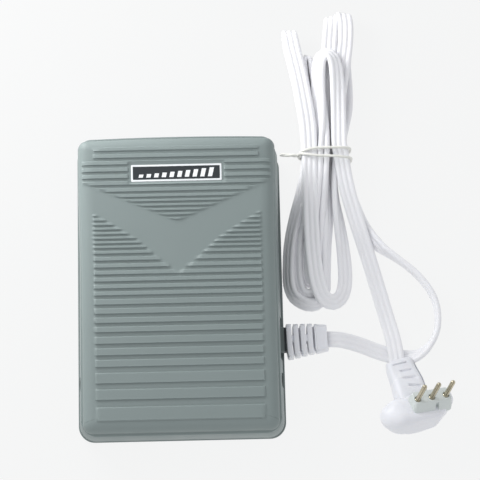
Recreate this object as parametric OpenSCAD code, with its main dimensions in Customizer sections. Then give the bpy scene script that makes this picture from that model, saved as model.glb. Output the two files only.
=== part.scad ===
// Foot control for a sewing machine: a ribbed treadle that rocks on a cross pin over a tray
// with the speed circuit, and a flat cord in a tied hank with a three-pin plug.
// Millimetres. Origin at the middle of the footprint, on the floor. +Y is the toe, +X the cord side.

/* [Pedal] */
// Width over the tray's flange
pedal_w = 103; // [101:1:106]
// Length over the tray's flange
pedal_l = 146; // [144:1:150]
// Height of the treadle's top at the heel
heel_h = 29; // [28.5:0.5:31]
// Slope of the treadle at rest, which is also its travel, in degrees
slope = 8; // [7.5:0.1:8]
// Radius of the corners
corner_r = 8; // [6:0.5:9]

/* [Treadle] */
// Wall thickness of the treadle
wall = 2.2; // [2:0.1:2.4]
// How far the sides lean in over 60 mm of height
draft = 6.5; // [5.5:0.1:7]
// How far the heel and toe lean in over 60 mm of height
end_draft = 2; // [1.5:0.1:2.5]
// Height of the raised crown over the shoulder ledge
crown_h = 6; // [5:0.5:6.5]
// Height of the ribs
rib_h = 0.7; // [0.5:0.1:1]
// Rib spacing at the toe
toe_pitch = 3.32; // [3.2:0.02:3.36]
// Rib spacing under the label
fine_pitch = 2.24; // [2.16:0.02:2.26]
// Rib spacing under the V
mid_pitch = 3.38; // [3.3:0.02:3.44]

/* [Hinge] */
// Distance of the hinge pin from the middle, towards the heel
hinge_back = 45; // [44:0.5:46]
// Height of the hinge pin
hinge_z = 15; // [14.5:0.1:15.2]
// Diameter of the hinge pin
pin_d = 4; // [3.6:0.1:4.2]
// Radial running clearance of a sliding or turning fit
run_gap = 0.08; // [0.02:0.01:0.09]

/* [Cord] */
// Width of the flat cord
cord_w = 8; // [7.6:0.1:8]
// Thickness of the flat cord
cord_t = 3; // [2.8:0.1:3.2]
// Height of the tied hank
hank_h = 16; // [15.5:0.5:17]

/* [Plug] */
// Diameter of the plug's pins
plug_pin_d = 2.4; // [2:0.1:2.4]
// Spacing of the plug's pins
plug_pitch = 7.8; // [7.4:0.1:8]
// Length of the plug's pins
plug_pin_l = 12; // [10:0.5:13]

/* [Hidden] */
$fn = 48;
eps = 0.01;

// Floor levels
foot_h = 2;
floor_top = 4.4;
flange_top = 5;
// Slices of the flange: height, thickness, inset
flange_slices = [[foot_h, 0.1, 0.7], [foot_h + 0.7, flange_top - foot_h - 1.1, 0],
    [flange_top - 0.1, 0.1, 0.4]];

// Tray walls
wall_x = 46;
tray_heel = -pedal_l / 2 + 7;
tray_toe = pedal_l / 2 - 9;
tray_wall = 2;
tray_heel_h = 21;
tray_toe_h = 25.8;
// The tray's walls close in towards the toe from straight_to on, to clear the leaning sides
straight_to = -8;
tray_toe_x = 44.2;

// Treadle
hinge_y = -hinge_back;
lower_slope = slope - 1.75;
skirt_low = 6;
ledge = 1.2;
plate_t = 2.5;
crown_slices = [[crown_h + 0.5, 0], [4, 0.1], [2, 1], [0.7, 2.8], [eps, 5.6]];
lug_x = 46.4;
lug_out = pedal_w / 2 - draft * hinge_z / 60 - 0.9;
bush_l = 2;
cap_x = 48.6;
cap_t = 1.2;
cap_r = 3.3;

// Ribs: distances run up the slope from the heel edge. Each group is [how many, spacing].
rib_first = 141.85;
rib_groups = [[7, toe_pitch], [1, 2.75], [11, fine_pitch], [1, 2.7], [6, mid_pitch], [4, 4.45],
    [3, 5.6], [2, 7.95], [1, 9.95]];
rib_steps = [for (g = rib_groups, i = [1 : g[0]]) g[1]];
rib_half = 41;
rib_root = 1.5;

// Label
label_v = 127.6;
label_size = [44.2, 8.2, 0.9];
label_proud = 0.2;

// Springs
spring_at = [35, 12];
spring_low = 7;
spring_top = 34.5;
spring_r = 5.2;
spring_wire = 0.6;
spring_turns = 8;
bumper_at = [35, 52];
bumper_z = [26, 30];

// Board and its parts
board = [54, 82, 1.6];
board_low = [-27, -30, 10];
board_top = board_low.z + board.z;
board_holes = [[-24, -27], [24, -27], [-24, 49], [24, 49]];
plunger_y = -5;
plunger_r = 4;
guide_top = 19;
collar_z = 29;
pad_z = 34.5;
plunger_gap = 0.2;

// Cord outlet
outlet_y = -24.6;
outlet_z = 8.8;
terminal_y = -20.3;
clamp_z = outlet_z + 1.7;
clamp_screws_y = [outlet_y - 7.2, outlet_y + 7.3];
rings_x = 52.4;
relief_end = 72.7;
feet_at = [[-41, -61.5], [41, -61.5], [-40.5, 59], [40.5, 59]];

// Route of the cord from the strain relief, round the loop to the hank: x, y, z, roll
pedal_route = [
    [72.7, -24.6, 8.8, 0], [79, -24.7, 7.4, 0], [85.5, -25.9, 4.9, 0], [92, -27.8, 2.9, 0],
    [99, -30.5, 1.8, 0], [107.5, -33, 1.9, 6], [115.5, -33.6, 3, 35], [121.2, -31.2, 3.8, 65],
    [125.8, -26.4, 4.1, 85], [128.4, -21.2, 4.2, 90], [129.4, -14.8, 4.2, 90],
    [129, -8.6, 4.2, 90], [127.2, -2.6, 4.2, 90], [122.6, 4.9, 4.2, 90], [117.4, 10.6, 4.2, 90],
    [110.4, 16.4, 4.2, 88], [103.4, 21.6, 3.9, 70], [98.2, 26.6, 3, 40], [94, 32.4, 2.4, 18],
    [90.6, 39.6, 2.5, 20], [88, 48, 3.2, 42], [86, 57, 4, 75], [84.8, 65.2, 4.4, 90]
];
// Route of the cord from the hank to the plug's boot: x, y, z, roll
plug_route = [
    [83.2, 69.2, 11.5, 0], [84.4, 60.2, 10, 0], [86, 51.8, 8.6, 0], [88.9, 40.5, 6.9, 0],
    [91.5, 31, 6.3, 0], [95.2, 18.9, 3.8, 0], [99.8, 2.2, 1.8, 0], [103.8, -13.8, 2.6, 0],
    [106.3, -24.8, 4.6, 0], [107.4, -32.8, 5.4, 0], [107.8, -38.3, 4.9, 0]
];

// Hank: the waist, then the round corners of its upper and lower lobes as x, y, radius
waist = [75, 73.7, 12];
upper_lobe = [[63, 129, 7.8], [82.4, 138.2, 8.6]];
lower_lobe = [[62.6, 3, 10.4], [77.2, 1, 9.8]];
tie_w = 3.6;
tie_t = 1.7;

// Plug: the head's own frame has its pins along +Z and its row of pins along +X
plug_at = [114, -63.8, 8.6];
boot_end = [108.2, -38.5, 4.9];
plug_turn = [-23, 19.8, 10.2];
head_t = 11;
insert_t = 4.5;
pin_mid = 5.5;

function unit(v) = v / norm(v);

// An oval ring of n points around p, square to direction t and turned by roll
function ring(p, t, a, b, roll, n) =
    let (s = unit(cross(t, [0, 0, 1])), u = cross(s, t))
    [for (i = [0 : n - 1])
        let (x = a * cos(360 * i / n), y = b * sin(360 * i / n))
        p + (x * cos(roll) - y * sin(roll)) * s + (x * sin(roll) + y * cos(roll)) * u];

// A closed tube with an oval section along a path of points
module sweep(path, a, b, rolls = [], n = 10) {
    m = len(path);
    rings = [for (k = [0 : m - 1])
        let (t = unit(path[min(k + 1, m - 1)] - path[max(k - 1, 0)]))
        each ring(path[k], t, a, b, len(rolls) == 0 ? 0 : rolls[k], n)];
    sides = [for (k = [0 : m - 2], i = [0 : n - 1])
        let (a = k * n + i, b = k * n + (i + 1) % n)
        each [[a, b, b + n], [a, b + n, a + n]]];
    start = [for (i = [n - 1 : -1 : 0]) i];
    end = [for (i = [0 : n - 1]) (m - 1) * n + i];
    polyhedron(rings, concat(sides, [start], [end]));
}

module cord_along(route) {
    sweep([for (p = route) [p.x, p.y, p.z]], cord_w / 2, cord_t / 2, [for (p = route) p[3]]);
}

// A coil spring standing on z = low
module coil(at, low, high, r, wire, turns) {
    steps = turns * 10;
    path = [for (k = [0 : steps])
        let (a = 360 * turns * k / steps, z = low + wire + (high - low - 2 * wire) * k / steps)
        [at.x + r * cos(a), at.y + r * sin(a), z]];
    sweep(path, wire, wire, n = 6);
}

// A rectangle with round corners, centred
module rounded(w, l, r) {
    square([w - 2 * r, l], center = true);
    square([w, l - 2 * r], center = true);
    for (x = [-1, 1], y = [-1, 1])
        translate([x * (w / 2 - r), y * (l / 2 - r)]) circle(r);
}

// A centred box from z0 to z1
module block(x0, x1, y0, y1, z0, z1) {
    translate([x0, y0, z0]) cube([x1 - x0, y1 - y0, z1 - z0]);
}

// A cylinder along X from x0 to x1, at the hinge
module hinge_rod(x0, x1, r) {
    translate([x0, hinge_y, hinge_z]) rotate([0, 90, 0]) cylinder(r = r, h = x1 - x0);
}

// A cross-head screw that points down, with its head's underside at z = 0
module screw(head_r, head_h, r, l) {
    difference() {
        union() {
            cylinder(r = head_r, h = head_h);
            translate([0, 0, -l]) cylinder(r = r, h = l + eps);
        }
        for (a = [0, 90])
            rotate(a) translate([-head_r * 0.6, -0.3, head_h * 0.5])
                cube([head_r * 1.2, 0.6, head_h]);
    }
}

// The frame of the treadle's top: Y runs up the slope from the heel edge, Z out of the top
module on_top() {
    translate([0, -pedal_l / 2, heel_h]) rotate([slope, 0, 0]) children();
}

// The drafted outside of the treadle, shrunk by inset, from the floor up
module drafted(inset) {
    hull() {
        linear_extrude(eps) rounded(pedal_w - 2 * inset, pedal_l - 2 * inset, corner_r - inset);
        translate([0, 0, 60]) linear_extrude(eps)
            rounded(pedal_w - 2 * inset - 2 * draft, pedal_l - 2 * inset - 2 * end_draft,
                corner_r - inset);
    }
}

// Everything above the tilted plane that is w over the treadle's top
module above_top(w) {
    on_top() translate([-100, -50, w]) cube([200, 260, 80]);
}

// Everything below the skirt's lower edge
module below_skirt() {
    translate([0, -pedal_l / 2, skirt_low]) rotate([lower_slope, 0, 0])
        translate([-100, -50, -60]) cube([200, 260, 60]);
}

// The raised top: each slice of crown_slices is [depth under the top, inset from the ledge]
module crown() {
    on_top() hull() for (c = crown_slices, end = [0, 1], side = [-1, 1]) {
        edge = pedal_l * end / cos(slope);
        share = (heel_h + pedal_l * end * tan(slope) - crown_h) / 60;
        r = corner_r - ledge - 1;
        translate([side * (pedal_w / 2 - draft * share - ledge - c[1] - r),
            edge + (1 - 2 * end) * (end_draft * share + ledge + c[1] + r), -c[0]])
            cylinder(r = r, h = eps, $fn = 32);
    }
}

// Where rib number i ends, measured up the slope
function rib_v(i) = i < 0 ? rib_first : rib_v(i - 1) - rib_steps[i];

// Wide ribs take up more of their spacing than narrow ones
function rib_width(step) = 0.6 * step - 0.3;

module ribs() {
    difference() {
        on_top() for (i = [0 : len(rib_steps) - 1])
            translate([-rib_half, rib_v(i), -rib_root])
                cube([2 * rib_half, rib_width(rib_steps[i]), rib_root + rib_h]);
        smooth_band();
        on_top() translate([-label_size.x / 2 - 1.5, label_v - label_size.y / 2 - 1, -1])
            cube([label_size.x + 3, label_size.y + 2, 5]);
    }
}

// The smooth V between the ribs
module smooth_band() {
    translate([0, 0, 20]) linear_extrude(40)
        polygon([[-39, 46.3], [0, 27.8], [39, 46.3], [38.3, 33.8], [0, 5.5], [-38.3, 33.8]]);
}

module tread_cover() {
    color([0.5, 0.56, 0.55]) difference() {
        union() {
            difference() {
                drafted(0);
                above_top(-crown_h);
                drafted(wall);
                below_skirt();
            }
            difference() {
                crown();
                difference() {
                    drafted(wall + 3.2);
                    above_top(-plate_t);
                }
            }
            ribs();
            lugs();
            intersection() {
                bosses();
                difference() {
                    drafted(wall + 1);
                    above_top(-plate_t / 2);
                }
            }
            hooks();
        }
        for (s = [0, 1]) mirror([s, 0, 0]) {
            hinge_rod(45, 53, pin_d / 2 + 1.6);
            block(lug_out, 60, hinge_y - pin_d / 2 - 1.6, hinge_y + pin_d / 2 + 1.6, 0, hinge_z);
        }
        outlet_notch();
        on_top() translate([-label_size.x / 2, label_v - label_size.y / 2,
            label_proud - label_size.z])
            cube([label_size.x, label_size.y, 3]);
    }
}

// Bearing lugs that hang from the skirt's sides
module lugs() {
    for (s = [0, 1]) mirror([s, 0, 0]) hinge_rod(lug_x, lug_out, 6);
}

// Spring spigots and the plunger's pad, under the top
module bosses() {
    for (s = [-1, 1]) translate([s * spring_at.x, spring_at.y, spring_top])
        cylinder(r = 6.4, h = 15);
    translate([0, plunger_y, pad_z]) cylinder(r = 6, h = 15);
}

// Hooks that catch the tray's toe ledges at rest
module hooks() {
    for (x = [-25, 25]) {
        block(x - 4, x + 4, tray_toe + 0.5, tray_toe + 4, 21.5, 23.5);
        block(x - 4, x + 4, tray_toe + 2.3, tray_toe + 4, 21.5, 45);
    }
}

// The gap in the skirt that the strain relief passes through
module outlet_notch() {
    block(45, 60, outlet_y - 10.4, outlet_y + 10.2, 0, 20);
}

module label_plate() {
    color([0.13, 0.15, 0.17]) on_top()
        translate([-label_size.x / 2, label_v - label_size.y / 2, label_proud - label_size.z])
            cube(label_size);
}

module hinge_bushes() {
    color("ivory") for (s = [0, 1]) mirror([s, 0, 0]) difference() {
        hinge_rod(lug_x, lug_x + bush_l, pin_d / 2 + 1.6);
        hinge_rod(lug_x - 1, lug_x + bush_l + 1, pin_d / 2 + run_gap);
    }
}

module hinge_pin() {
    color("silver") hinge_rod(-cap_x - 0.4, cap_x + 0.4, pin_d / 2);
}

module hinge_caps() {
    color([0.1, 0.1, 0.1]) for (s = [0, 1]) mirror([s, 0, 0]) difference() {
        hinge_rod(cap_x, cap_x + cap_t, cap_r);
        hinge_rod(cap_x - 1, cap_x + 0.4, pin_d / 2);
    }
}

module tray_outline(inset) {
    r = corner_r - 2;
    hull() for (s = [-1, 1]) {
        translate([s * (wall_x - r), tray_heel + r]) circle(r - inset);
        translate([s * (wall_x - r), straight_to]) circle(r - inset);
        translate([s * (tray_toe_x - r), tray_toe - r]) circle(r - inset);
    }
}

module base_tray() {
    color([0.42, 0.47, 0.47]) difference() {
        union() {
            hull() for (c = flange_slices) translate([0, 0, c[0]]) linear_extrude(c[1])
                rounded(pedal_w - 2 * c[2], pedal_l - 2 * c[2], corner_r - c[2]);
            difference() {
                translate([0, 0, floor_top]) linear_extrude(30) tray_outline(0);
                tray_top_cut();
            }
            for (x = [-25, 25])
                block(x - 5, x + 5, tray_toe - 1, tray_toe + 1.8, 23.8, 25.8);
        }
        difference() {
            translate([0, 0, floor_top]) linear_extrude(40) tray_outline(tray_wall);
            tray_bosses();
        }
        hinge_rod(-60, 60, pin_d / 2);
        block(wall_x - 3, wall_x + 1, outlet_y - 6.3, outlet_y + 6.3, outlet_z - 3.7,
            outlet_z + 3.7);
        for (p = feet_at) translate([p.x, p.y, 0]) {
            cylinder(r = 7, h = foot_h + 0.6);
            cylinder(r = 1.5, h = 9);
        }
        for (p = board_holes) translate([p.x, p.y, floor_top + 0.8])
            cylinder(r = 1.2, h = 10);
        for (y = clamp_screws_y) translate([36, y, floor_top + 0.8]) cylinder(r = 1.2, h = 10);
    }
}

// The sloping cut that ends the tray's walls
module tray_top_cut() {
    rise = atan2(tray_toe_h - tray_heel_h, tray_toe - tray_heel);
    translate([0, tray_heel, tray_heel_h]) rotate([rise, 0, 0])
        translate([-100, -50, 0]) cube([200, 250, 60]);
}

// Posts and bosses that stand on the tray's floor
module tray_bosses() {
    for (s = [0, 1]) mirror([s, 0, 0]) {
        hinge_rod(38, wall_x, 5);
        block(38, wall_x, hinge_y - 5, hinge_y + 5, floor_top - 1, hinge_z);
    }
    for (s = [-1, 1]) {
        translate([s * spring_at.x, spring_at.y, floor_top - 1])
            cylinder(r = 7.2, h = spring_low - floor_top + 1);
        translate([s * spring_at.x, spring_at.y, floor_top - 1])
            cylinder(r = 4, h = spring_low - floor_top + 6);
        translate([s * bumper_at.x, bumper_at.y, floor_top - 1])
            cylinder(r = 5, h = bumper_z[0] - floor_top + 1);
    }
    for (p = feet_at) translate([p.x, p.y, floor_top - 1]) cylinder(r = 4, h = 6.5);
    for (p = board_holes) translate([p.x, p.y, floor_top - 1])
        cylinder(r = 3.2, h = board_low.z - floor_top + 1);
    for (y = clamp_screws_y) translate([36, y, floor_top - 1])
        cylinder(r = 2.8, h = clamp_z - floor_top + 1);
}

module rubber_feet() {
    color([0.12, 0.12, 0.12]) for (p = feet_at) translate([p.x, p.y, 0]) difference() {
        cylinder(r = 7, h = foot_h + 0.6);
        translate([0, 0, -1]) cylinder(r = 1.7, h = 5);
        translate([0, 0, -1]) cylinder(r = 3.3, h = 2.3);
    }
}

module foot_screws() {
    color("silver") for (p = feet_at) translate([p.x, p.y, 1.3]) mirror([0, 0, 1])
        screw(3, 1, 1.5, 7);
}

module stop_bumpers() {
    color([0.12, 0.12, 0.12]) for (s = [-1, 1])
        translate([s * bumper_at.x, bumper_at.y, bumper_z[0]])
            cylinder(r = 5, h = bumper_z[1] - bumper_z[0]);
}

module circuit_board() {
    color([0.72, 0.56, 0.3]) difference() {
        translate(board_low) cube(board);
        for (p = board_holes) translate([p.x, p.y, 0]) cylinder(r = 1.7, h = 20);
        translate([0, plunger_y, 0]) cylinder(r = plunger_r + 1, h = 20);
    }
}

module board_screws() {
    color("silver") for (p = board_holes) translate([p.x, p.y, board_top])
        screw(2.6, 1.8, 1.2, 6);
}

module plunger_guide() {
    color([0.16, 0.16, 0.17]) difference() {
        block(-7, 7, plunger_y - 7, plunger_y + 7, board_top, guide_top);
        translate([0, plunger_y, 0]) cylinder(r = plunger_r + run_gap, h = 40);
    }
}

module plunger() {
    color("white") translate([0, plunger_y, 0]) {
        translate([0, 0, 12]) cylinder(r = plunger_r, h = 18.3);
        translate([0, 0, collar_z]) cylinder(r = 6.5, h = 1.5);
        translate([0, 0, pad_z - plunger_gap - plunger_r]) sphere(r = plunger_r);
    }
}

module plunger_spring() {
    color("silver") coil([0, plunger_y], guide_top, collar_z, 5.2, 0.4, 5);
}

module wiper() {
    color([0.8, 0.65, 0.3]) {
        block(4.5, 12.5, plunger_y - 0.8, plunger_y + 0.8, collar_z + 1.5, collar_z + 2);
        block(11.9, 12.5, plunger_y - 0.8, plunger_y + 0.8, 24, collar_z + 2);
    }
}

module slide_potentiometer() {
    color([0.2, 0.3, 0.5]) difference() {
        block(9.5, 15.5, plunger_y - 6, plunger_y + 6, board_top, 29.5);
        block(9, 13.5, plunger_y - 1.6, plunger_y + 1.6, 17, 35);
    }
}

module triac() {
    color([0.15, 0.15, 0.16]) block(-22, -12, -18.6, -14, 15, 24);
    color("silver") {
        difference() {
            block(-22, -12, -15.3, -14, 24, 29.5);
            translate([-17, -20, 26.8]) rotate([-90, 0, 0]) cylinder(r = 1.6, h = 10);
        }
        for (x = [-19.5, -17, -14.5])
            block(x - 0.4, x + 0.4, -16.8, -16.2, board_top, 15);
    }
}

module heat_sink() {
    color([0.75, 0.76, 0.78]) difference() {
        union() {
            block(-26, -8.4, -14, -12, board_top, 29.5);
            for (i = [0 : 4]) block(-26 + 4.1 * i, -24.8 + 4.1 * i, -12.5, -6, board_top, 29.5);
        }
        translate([-17, -20, 26.8]) rotate([-90, 0, 0]) cylinder(r = 1.5, h = 9);
    }
}

module triac_screw() {
    color("silver") translate([-17, -15.3, 26.8]) rotate([90, 0, 0]) screw(2.6, 1.8, 1.5, 3.3);
}

module film_capacitor() {
    color([0.85, 0.7, 0.2]) block(-24, -4, 26, 36, board_top, 27.6);
}

module ceramic_capacitors() {
    color([0.75, 0.5, 0.25]) for (x = [2, 9]) {
        translate([x, 17.8, 17]) rotate([-90, 0, 0]) cylinder(r = 3.2, h = 2.2);
        for (s = [-1, 1]) translate([x + 1.6 * s, 18.9, board_top]) cylinder(r = 0.3, h = 4);
    }
}

module choke_core() {
    color([0.3, 0.32, 0.3]) translate([12, 35, 13.2]) difference() {
        cylinder(r = 9, h = 7);
        translate([0, 0, -1]) cylinder(r = 4.6, h = 9);
    }
}

module choke_winding() {
    color([0.72, 0.4, 0.2]) translate([12, 35, 0]) difference() {
        translate([0, 0, 12.2]) cylinder(r = 10, h = 9);
        translate([0, 0, 12]) cylinder(r = 3.6, h = 11);
        difference() {
            translate([0, 0, 13.2]) cylinder(r = 9, h = 7);
            translate([0, 0, 12]) cylinder(r = 4.6, h = 11);
        }
        translate([0, -3, 10]) cube([15, 6, 15]);
    }
}

module resistors() {
    color([0.82, 0.72, 0.55]) for (y = [3, 8, 13]) {
        translate([-21, y, 13.4]) rotate([0, 90, 0]) cylinder(r = 1.3, h = 7);
        translate([-23.5, y, 13.4]) rotate([0, 90, 0]) cylinder(r = 0.35, h = 12);
        for (x = [-23.2, -11.8]) translate([x, y, board_top]) cylinder(r = 0.35, h = 2.1);
    }
}

module trimmer() {
    color([0.2, 0.45, 0.7]) block(-15.5, -8.5, -28, -21, board_top, 16);
    color("white") translate([-12, -24.5, 16]) difference() {
        cylinder(r = 2.4, h = 0.8);
        translate([-2, -0.35, 0.4]) cube([4, 0.7, 1]);
    }
}

module terminal_block() {
    color([0.2, 0.5, 0.35]) difference() {
        block(3, 19, -26.5, -14.1, board_top, 21);
        for (i = [-1 : 1]) {
            translate([16.5, terminal_y + 4 * i, 15.5]) rotate([0, 90, 0])
                cylinder(r = 1.3, h = 5);
            translate([12.5, terminal_y + 4 * i, 17]) cylinder(r = 1.6, h = 5);
        }
    }
}

module terminal_screws() {
    color("silver") for (i = [-1 : 1]) translate([12.5, terminal_y + 4 * i, 17])
        difference() {
            cylinder(r = 1.6, h = 2.6);
            translate([-2, -0.3, 2]) cube([4, 0.6, 1]);
        }
}

module internal_leads() {
    tones = ["white", "black", "red"];
    for (i = [-1 : 1]) color(tones[i + 1])
        sweep([[41.9, outlet_y + 2.6 * i, outlet_z], [38, outlet_y + 2.6 * i, outlet_z],
            [33, outlet_y + 2.6 * i, outlet_z], [30.5, outlet_y + 1 + 3 * i, 10.6],
            [28.6, outlet_y + 2.4 + 3.6 * i, 13.7], [24, terminal_y - 0.5 + 4 * i, 15.4],
            [20, terminal_y + 4 * i, 15.5], [16.6, terminal_y + 4 * i, 15.5]], 1.2, 1.2, n = 8);
}

module cord_clamp() {
    color([0.16, 0.16, 0.17]) difference() {
        block(33.5, 38.5, outlet_y - 10, outlet_y + 10.1, clamp_z, clamp_z + 2.5);
        for (y = clamp_screws_y) translate([36, y, 0]) cylinder(r = 1.5, h = 20);
    }
}

module clamp_screws() {
    color("silver") for (y = clamp_screws_y) translate([36, y, clamp_z + 2.5])
        screw(2.6, 1.8, 1.2, 7.5);
}

// Slotted sleeve: neck through the tray's wall, rings joined by webs, then the end block
module strain_relief() {
    ring_l = 2.5;
    pitch = 3.45;
    color([0.86, 0.87, 0.9]) translate([0, outlet_y, outlet_z]) difference() {
        union() {
            block(41.9, 44, -8, 8, -4.3, 5.5);
            block(43.9, rings_x, -6.3, 6.3, -3.7, 3.7);
            for (i = [0 : 3]) {
                x = rings_x + pitch * i;
                block(x, x + ring_l, 0.5 * i - 9.1, 7.3 - 0.1 * i, 0.7 * i - 8.1, 6.4 - 0.35 * i);
                if (i % 2 == 0) block(x + ring_l, x + pitch, -2, 2, -5, 5);
                else block(x + ring_l, x + pitch, -6, 6, -2, 2);
            }
            block(rings_x + 4 * pitch, relief_end, -6.5, 6.2, -5.4, 5);
        }
        block(40, relief_end + 1, -cord_w / 2, cord_w / 2, -cord_t / 2, cord_t / 2);
    }
}

module cord_to_pedal() {
    color([0.9, 0.92, 0.93]) cord_along(pedal_route);
}

module cord_to_plug() {
    color([0.9, 0.92, 0.93]) cord_along(plug_route);
}

// The outline of one lobe of the hank, from the waist to its round end
module lobe(corners) {
    hull() {
        translate([waist.x, waist.y]) circle(waist[2]);
        for (c = corners) translate([c.x, c.y]) circle(c[2]);
    }
}

// The tie as a square ring round the hank's waist
module tie_band() {
    r = waist[2];
    translate([waist.x, waist.y, 0]) difference() {
        block(-r - tie_t, r + tie_t, -tie_w / 2, tie_w / 2, 0, hank_h + 0.3);
        block(-r, r, -tie_w, tie_w, tie_t, hank_h - 1.4);
    }
}

module cord_hank() {
    color([0.86, 0.88, 0.9]) difference() {
        linear_extrude(hank_h) {
            lobe(upper_lobe);
            lobe(lower_lobe);
        }
        tie_band();
    }
}

module cord_tie() {
    color("white") {
        tie_band();
        sweep([[waist.x - waist[2] - 1, waist.y, 7], [58.5, waist.y + 0.2, 6.4],
            [55.2, waist.y + 0.5, 5.6], [52.8, waist.y + 0.7, 4.9]], 0.9, 0.9, n = 8);
    }
}

// The plug's own frame
module in_plug() {
    translate(plug_at) rotate(plug_turn) children();
}

module plug_body() {
    color([0.88, 0.9, 0.92]) {
        in_plug() hull() {
            translate([-10, 0.5, 2]) cylinder(r = 7, h = head_t - 4);
            translate([-10, 0.5, 0.6]) cylinder(r = 5.2, h = head_t - 1.2);
            block(12, 18.5, -1, 6.5, 0, head_t);
            block(0, 12, -7.5, 7, 0, head_t);
        }
        hull() {
            in_plug() block(-8.5, 5, 4, 5, 1.5, 9.5);
            translate(boot_end) rotate([0, 0, 8]) block(-6.5, 6.5, -1, 0, -3.9, 3.4);
        }
    }
}

module plug_insert() {
    color([0.85, 0.87, 0.88]) in_plug() difference() {
        translate([0, 0, head_t]) linear_extrude(insert_t)
            translate([pin_mid, 0]) rounded(24, 9.5, 2);
        block(5, 7, -6, -3.6, head_t - 1, head_t + insert_t + 1);
    }
}

module plug_pins() {
    top = head_t + insert_t;
    color([0.7, 0.66, 0.5]) in_plug() for (i = [-1 : 1])
        translate([pin_mid + plug_pitch * i, 0, top]) {
            cylinder(r = plug_pin_d / 2, h = plug_pin_l - plug_pin_d / 2);
            translate([0, 0, plug_pin_l - plug_pin_d / 2]) sphere(r = plug_pin_d / 2);
        }
}

base_tray();
rubber_feet();
foot_screws();
hinge_pin();
hinge_caps();
stop_bumpers();
circuit_board();
board_screws();
plunger_guide();
slide_potentiometer();
triac();
heat_sink();
triac_screw();
film_capacitor();
ceramic_capacitors();
choke_core();
choke_winding();
resistors();
trimmer();
terminal_block();
terminal_screws();
internal_leads();
cord_clamp();
clamp_screws();
strain_relief();
tread_cover();
label_plate();
hinge_bushes();
color("silver") coil([-spring_at.x, spring_at.y], spring_low, spring_top, spring_r,  // return_spring_left
        spring_wire, spring_turns);
color("silver") coil(spring_at, spring_low, spring_top, spring_r, spring_wire,  // return_spring_right
        spring_turns);
plunger();
plunger_spring();
wiper();
cord_to_pedal();
cord_hank();
cord_to_plug();
cord_tie();
plug_body();
plug_insert();
plug_pins();
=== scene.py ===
"""Sewing machine foot control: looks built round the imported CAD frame.

Metres in the row frame. Lengths in the tables below are millimetres, turned to metres by MM.
"""
from math import acos, copysign, cos, pi, radians, sin, sqrt, tan

import bmesh
import bpy
import numpy as np
from mathutils import Matrix, Vector


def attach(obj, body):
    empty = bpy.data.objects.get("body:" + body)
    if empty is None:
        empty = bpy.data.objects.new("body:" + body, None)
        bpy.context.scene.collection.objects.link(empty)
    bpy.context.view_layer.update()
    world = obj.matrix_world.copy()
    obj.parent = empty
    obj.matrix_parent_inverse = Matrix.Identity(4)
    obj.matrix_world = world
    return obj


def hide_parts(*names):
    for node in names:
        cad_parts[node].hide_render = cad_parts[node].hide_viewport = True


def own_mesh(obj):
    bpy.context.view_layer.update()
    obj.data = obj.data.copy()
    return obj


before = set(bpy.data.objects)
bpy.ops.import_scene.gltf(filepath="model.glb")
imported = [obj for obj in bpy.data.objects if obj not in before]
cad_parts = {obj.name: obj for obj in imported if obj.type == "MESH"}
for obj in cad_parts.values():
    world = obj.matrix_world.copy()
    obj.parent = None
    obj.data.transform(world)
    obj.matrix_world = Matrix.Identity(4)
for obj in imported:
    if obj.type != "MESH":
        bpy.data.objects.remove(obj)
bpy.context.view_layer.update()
MM = 0.001

# -------------------------------------------------- camera
TILT, ROLL, YAW = radians(12.0), radians(1.25), 0.011
DISTANCE, FOCAL, SENSOR = 0.9, 137.6, 36.0  # metres, then millimetres
AIM, AIM_HEIGHT = (0.0299, 0.02275), 0.03   # where it looks, along its own right and up, from this height


def make_camera():
    """A long lens that looks down on the pedal from a little to its heel's side."""
    ahead = Vector((YAW, sin(TILT), -cos(TILT))).normalized()
    right0 = ahead.cross(Vector((0, cos(TILT), sin(TILT)))).normalized()
    up0 = right0.cross(ahead)
    right = right0 * cos(ROLL) - up0 * sin(ROLL)
    up = right0 * sin(ROLL) + up0 * cos(ROLL)
    place = Vector((0, 0, AIM_HEIGHT)) + right * AIM[0] + up * AIM[1] - ahead * DISTANCE
    data = bpy.data.cameras.new("camera")
    data.lens, data.sensor_width = FOCAL, SENSOR
    data.clip_start, data.clip_end = 0.05, 20
    cam = bpy.data.objects.new("camera", data)
    turn = Matrix((right, up, -ahead)).transposed().to_4x4()
    cam.matrix_world = Matrix.Translation(place) @ turn
    bpy.context.scene.collection.objects.link(cam)
    bpy.context.scene.camera = cam


make_camera()


# -------------------------------------------------- mesh helpers
def finish_object(name, mesh, material, smooth=True):
    o = bpy.data.objects.new(name, mesh)
    bpy.context.scene.collection.objects.link(o)
    if material:
        mesh.materials.append(material)
    if smooth:
        mesh.shade_smooth()
    return o


def new_object(name, verts, faces, material=None):
    mesh = bpy.data.meshes.new(name)
    mesh.from_pydata([tuple(v) for v in verts], [], [tuple(f) for f in faces])
    mesh.validate()
    mesh.update()
    return finish_object(name, mesh, material)


def sharpen(o, degrees):
    """Keeps edges sharper than this angle crisp under smooth shading."""
    o.data.set_sharp_from_angle(angle=radians(degrees))


def stands_for(piece, body, slot, *nodes):
    """What every piece says: the body it rides on, its material slot and the CAD nodes that it replaces. It rides on
    the body and the nodes are hidden; the slot is not used.
    """
    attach(piece, body)
    if nodes:
        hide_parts(*nodes)


def unit(v):
    v = np.asarray(v, float)
    return v / np.linalg.norm(v, axis=-1, keepdims=True)


def circle(r, n):
    return [(r * cos(2 * pi * k / n), r * sin(2 * pi * k / n)) for k in range(n)]


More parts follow.
